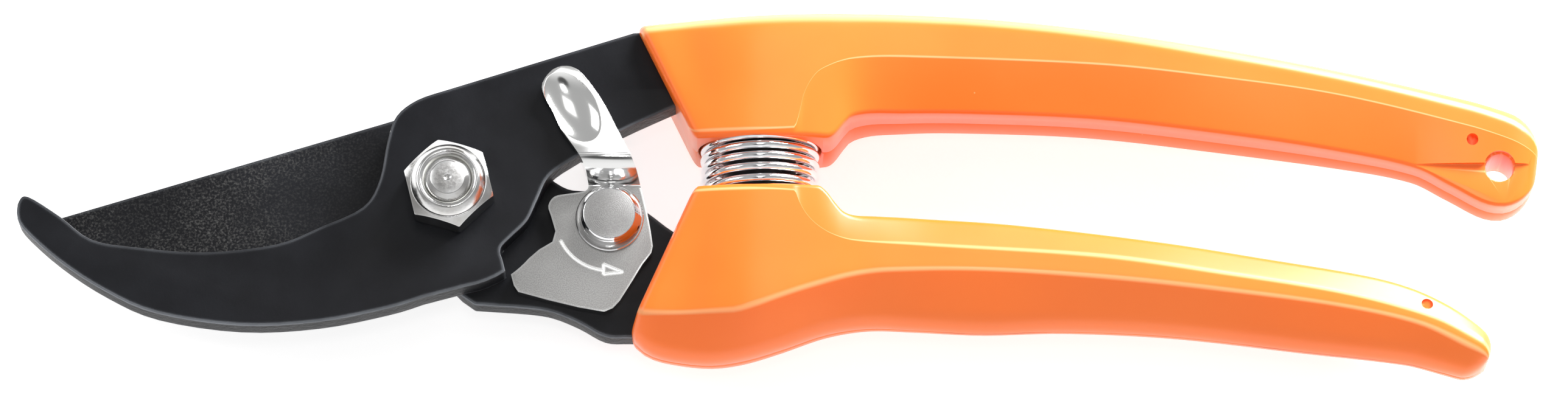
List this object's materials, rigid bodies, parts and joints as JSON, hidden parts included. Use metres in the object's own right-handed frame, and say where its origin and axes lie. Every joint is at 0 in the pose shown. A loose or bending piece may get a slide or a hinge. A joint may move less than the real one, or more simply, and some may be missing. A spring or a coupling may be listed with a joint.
{
  "type": "pruning shears",
  "caption": "Bypass pruning shears with a hooked counter blade, two moulded grips, a spring between them and a thumb lock.",
  "frame": {"origin": "centre of the overall box in X and Y, on the surface that the closed shears lie on", "axes": "+X from the blades to the grips, +Y towards the hook plate's grip, +Z out of the nut's side, along the pivot"},
  "size_m": [0.2078, 0.0507, 0.0195],
  "materials": {
    "hook_steel": "satin black coating on stamped steel",
    "blade_steel": "satin black coating, speckled on the blade",
    "orange_plastic": "glossy moulded orange plastic",
    "bright_zinc": "bright zinc plate",
    "nylon": "translucent nylon",
    "lever_steel": "fine blasted stainless with bright edges",
    "rivet_chrome": "polished rim and fine turned top",
    "spring_steel": "bright plated wire",
    "black_rubber": "smooth moulded rubber"
  },
  "bodies": {
    "lower_half": {"blade_plate": "blade_steel", "lower_grip": "orange_plastic", "pivot_bolt": "bright_zinc", "pivot_nut": "bright_zinc", "nut_insert": "nylon", "lever_rivet": "rivet_chrome", "rivet_washer": "rivet_chrome", "return_spring": "spring_steel", "spring_bumper": "black_rubber"},
    "upper_half": {"hook_plate": "hook_steel", "upper_grip": "orange_plastic"},
    "lever": {"lock_lever": "lever_steel"}
  },
  "joints": [
    {"name": "handle_hinge", "type": "hinge", "parent": "lower_half", "child": "upper_half", "pos_m": [-0.0449, 0.0004, 0.009], "axis": [0, 0, 1], "range_deg": [0, 27], "stiffness_Nm_per_rad": 1, "springref_deg": 32.09, "deforming": ["return_spring"]},
    {"name": "lock_hinge", "type": "hinge", "parent": "lower_half", "child": "lever", "pos_m": [-0.0231, -0.00305, 0.009], "axis": [0, 0, 1], "range_deg": [0, 18]}
  ]
}
